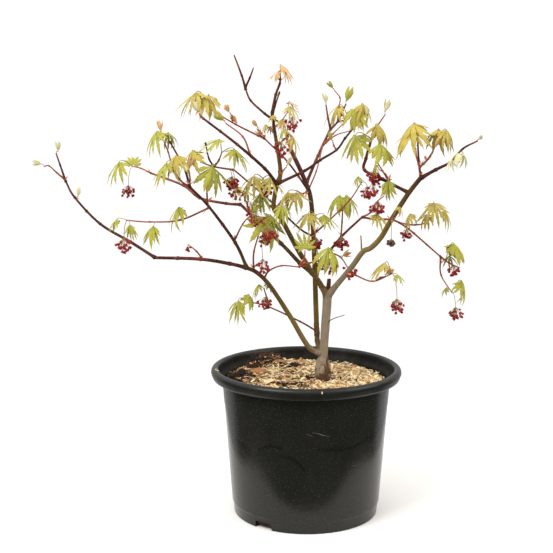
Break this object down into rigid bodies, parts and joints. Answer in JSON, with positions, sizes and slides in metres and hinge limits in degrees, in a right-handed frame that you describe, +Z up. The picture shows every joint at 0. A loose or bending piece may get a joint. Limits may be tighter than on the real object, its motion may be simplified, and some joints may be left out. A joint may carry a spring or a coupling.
{
  "type": "potted full moon maple",
  "caption": "Young full moon maple with several stems in a black nursery pot with wood-chip mulch, its lobed leaves half open and small red flowers hanging under them.",
  "frame": {"origin": "the middle of the pot's flat underside, on the ground", "axes": "+Z up along the pot's axis, -Y towards the front that the picture shows, +X to its right"},
  "size_m": [0.7986, 0.4805, 0.81],
  "materials": {
    "pot": "satin black, dusty and lightly scuffed",
    "mulch": "dry pale wood chips over dark potting mix",
    "bark": "smooth bark, grey-brown below and dark red-brown on the young limbs",
    "leaf": "thin matte leaf, yellow-green to olive-gold",
    "young_leaf": "pale opening buds tinged with orange",
    "blossom": "deep red petals"
  },
  "bodies": {
    "root": {"pot": "pot", "potting_mix": "mulch", "trunk": "bark", "right_bough": "bark", "left_bough": "bark", "inner_stem": "bark", "left_stem": "bark", "right_outer": "bark", "right_inner": "bark", "leader": "bark", "leader_fork": "bark", "front_left": "bark", "cross_bough": "bark", "back_left": "bark", "back_left_end": "bark", "back_right": "bark", "thin_left": "bark", "low_left": "bark", "low_left_end": "bark", "rising_left": "bark", "middle_right": "bark", "middle_right_end": "bark", "twig_left": "bark", "shoot_low_left_tip": "young_leaf", "shoot_low_left_spur": "blossom", "shoot_hanging_left": "leaf", "shoot_rising_left_tip": "leaf", "shoot_back_left_tip": "leaf", "shoot_left_umbrella": "leaf", "shoot_front_left_tip": "young_leaf", "shoot_front_left_side": "young_leaf", "shoot_thin_left_tip": "leaf", "shoot_twig_left_tip": "leaf", "shoot_back_left_side": "leaf", "shoot_rising_left_twig": "blossom", "shoot_left_stem_sprout": "leaf", "shoot_twig_left_leaves": "leaf", "shoot_left_bough_knob": "leaf", "shoot_inner_left": "leaf", "shoot_arc_sprout": "leaf", "shoot_low_sprout": "leaf", "shoot_inner_front": "leaf", "shoot_thin_right": "leaf", "shoot_middle_up": "leaf", "shoot_fork_front": "blossom", "shoot_right_low": "leaf", "shoot_middle_top": "leaf", "shoot_right_inner_tip": "leaf", "shoot_right_inner_mid": "leaf", "shoot_right_top": "leaf", "shoot_right_outer_tip": "leaf", "shoot_right_dried": "blossom", "shoot_middle_end_up": "leaf", "shoot_middle_end_tip": "leaf", "shoot_back_right_tip": "leaf", "shoot_cross_tip": "leaf", "shoot_leader_mid": "leaf", "shoot_inner_tip": "leaf", "shoot_leader_tip": "leaf", "shoot_leader_fork_tip": "young_leaf"}
  },
  "joints": []
}
